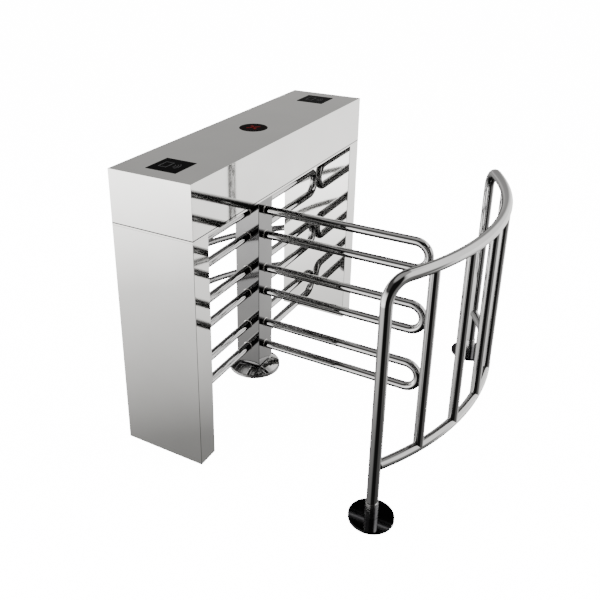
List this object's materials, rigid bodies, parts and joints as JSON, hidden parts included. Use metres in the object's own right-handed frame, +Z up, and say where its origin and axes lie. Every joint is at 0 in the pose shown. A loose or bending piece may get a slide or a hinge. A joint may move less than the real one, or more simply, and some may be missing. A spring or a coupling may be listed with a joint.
{
  "type": "visitor counter turnstile",
  "caption": "Half-height entrance turnstile with portal cabinet, three-wing sprung rotor, curved rear rails and a curved walkway guard.",
  "frame": {"origin": "on the floor on the rotor's axis, at the middle of the cabinet", "axes": "+X to the walkway and the guard, +Y along the cabinet, +Z up"},
  "size_m": [1.3154, 1.2111, 0.981],
  "materials": {
    "cabinet_steel": "fine satin sheet",
    "polished_tube": "mirror polished stainless",
    "column_steel": "polished stainless",
    "floor_steel": "plain",
    "cover_steel": "mirror polished",
    "ferrule_steel": "satin",
    "zinc_plate": "zinc plated",
    "machined_steel": "turned",
    "housing_iron": "painted casting",
    "brass": "machined",
    "black_plastic": "moulded",
    "buffer_rubber": "moulded",
    "reader_black": "gloss",
    "lens_black": "smoked gloss",
    "board_green": "solder mask",
    "supply_case": "plain",
    "dark_screws": "blackened"
  },
  "bodies": {
    "cabinet": {"leg_near": "cabinet_steel", "leg_far": "cabinet_steel", "base_plates": "floor_steel", "leg_doors": "cabinet_steel", "head_tray": "cabinet_steel", "mechanism_plate": "zinc_plate", "standoffs": "zinc_plate", "bearing_housing": "housing_iron", "bearing_outer_ring": "machined_steel", "spring_cup": "machined_steel", "centring_spring": "machined_steel", "damper_body": "black_plastic", "lock_bracket": "zinc_plate", "lock_solenoid": "black_plastic", "stop_buffers": "buffer_rubber", "counter_sensor": "black_plastic", "control_board": "board_green", "power_supply": "supply_case", "screws": "dark_screws", "hinge_lower": "zinc_plate", "hinge_pins": "machined_steel", "base_flange": "floor_steel", "base_cover": "column_steel", "rear_rail_1": "polished_tube", "rear_rail_2": "polished_tube", "rear_rail_3": "polished_tube", "rear_rail_4": "polished_tube", "guard_posts": "polished_tube", "guard_top_rail": "polished_tube", "guard_bottom_rail": "polished_tube", "guard_bars": "polished_tube", "guard_ferrules": "ferrule_steel", "guard_flanges": "floor_steel", "guard_covers": "cover_steel"},
    "rotor": {"rotor_column": "column_steel", "column_top_cap": "machined_steel", "column_bottom_cap": "machined_steel", "lower_bush": "brass", "main_shaft": "machined_steel", "bearing_inner_ring": "machined_steel", "bearing_balls": "machined_steel", "rotor_gear": "machined_steel", "index_wheel": "zinc_plate", "stop_lever": "zinc_plate", "counter_disc": "zinc_plate", "arm_front": "polished_tube", "arm_near": "polished_tube", "arm_far": "polished_tube"},
    "damper": {"damper_pinion": "brass"},
    "bolt": {"lock_bolt": "machined_steel"},
    "lid": {"hood": "cabinet_steel", "reader_panels": "reader_black", "reader_cases": "black_plastic", "reader_boards": "board_green", "indicator_lens": "lens_black", "indicator_case": "black_plastic", "indicator_board": "board_green", "hinge_upper": "zinc_plate", "lock_barrel": "zinc_plate"},
    "cam": {"lock_cam": "zinc_plate"}
  },
  "joints": [
    {"name": "rotor_swing", "type": "hinge", "parent": "cabinet", "child": "rotor", "pos_m": [0, 0, 0], "axis": [0, 0, 1], "range_deg": [-70, 20], "stiffness_Nm_per_rad": 4},
    {"name": "damper_spin", "type": "hinge", "parent": "cabinet", "child": "damper", "pos_m": [0, 0.08, 0], "axis": [0, 0, 1], "range_deg": [-62, 212]},
    {"name": "bolt_slide", "type": "slide", "parent": "cabinet", "child": "bolt", "axis": [0, 1, 0], "range_m": [0, 0.011], "stiffness_N_per_m": 150},
    {"name": "hood_hinge", "type": "hinge", "parent": "cabinet", "child": "lid", "pos_m": [-0.155, 0, 0.805], "axis": [0, -1, 0], "range_deg": [0, 80]},
    {"name": "lock_turn", "type": "hinge", "parent": "lid", "child": "cam", "pos_m": [0, 0.6, 0.842], "axis": [0, 1, 0], "range_deg": [0, 90]}
  ],
  "couplings": [
    {"joint": "damper_spin", "follows": "rotor_swing", "ratio": -3}
  ]
}
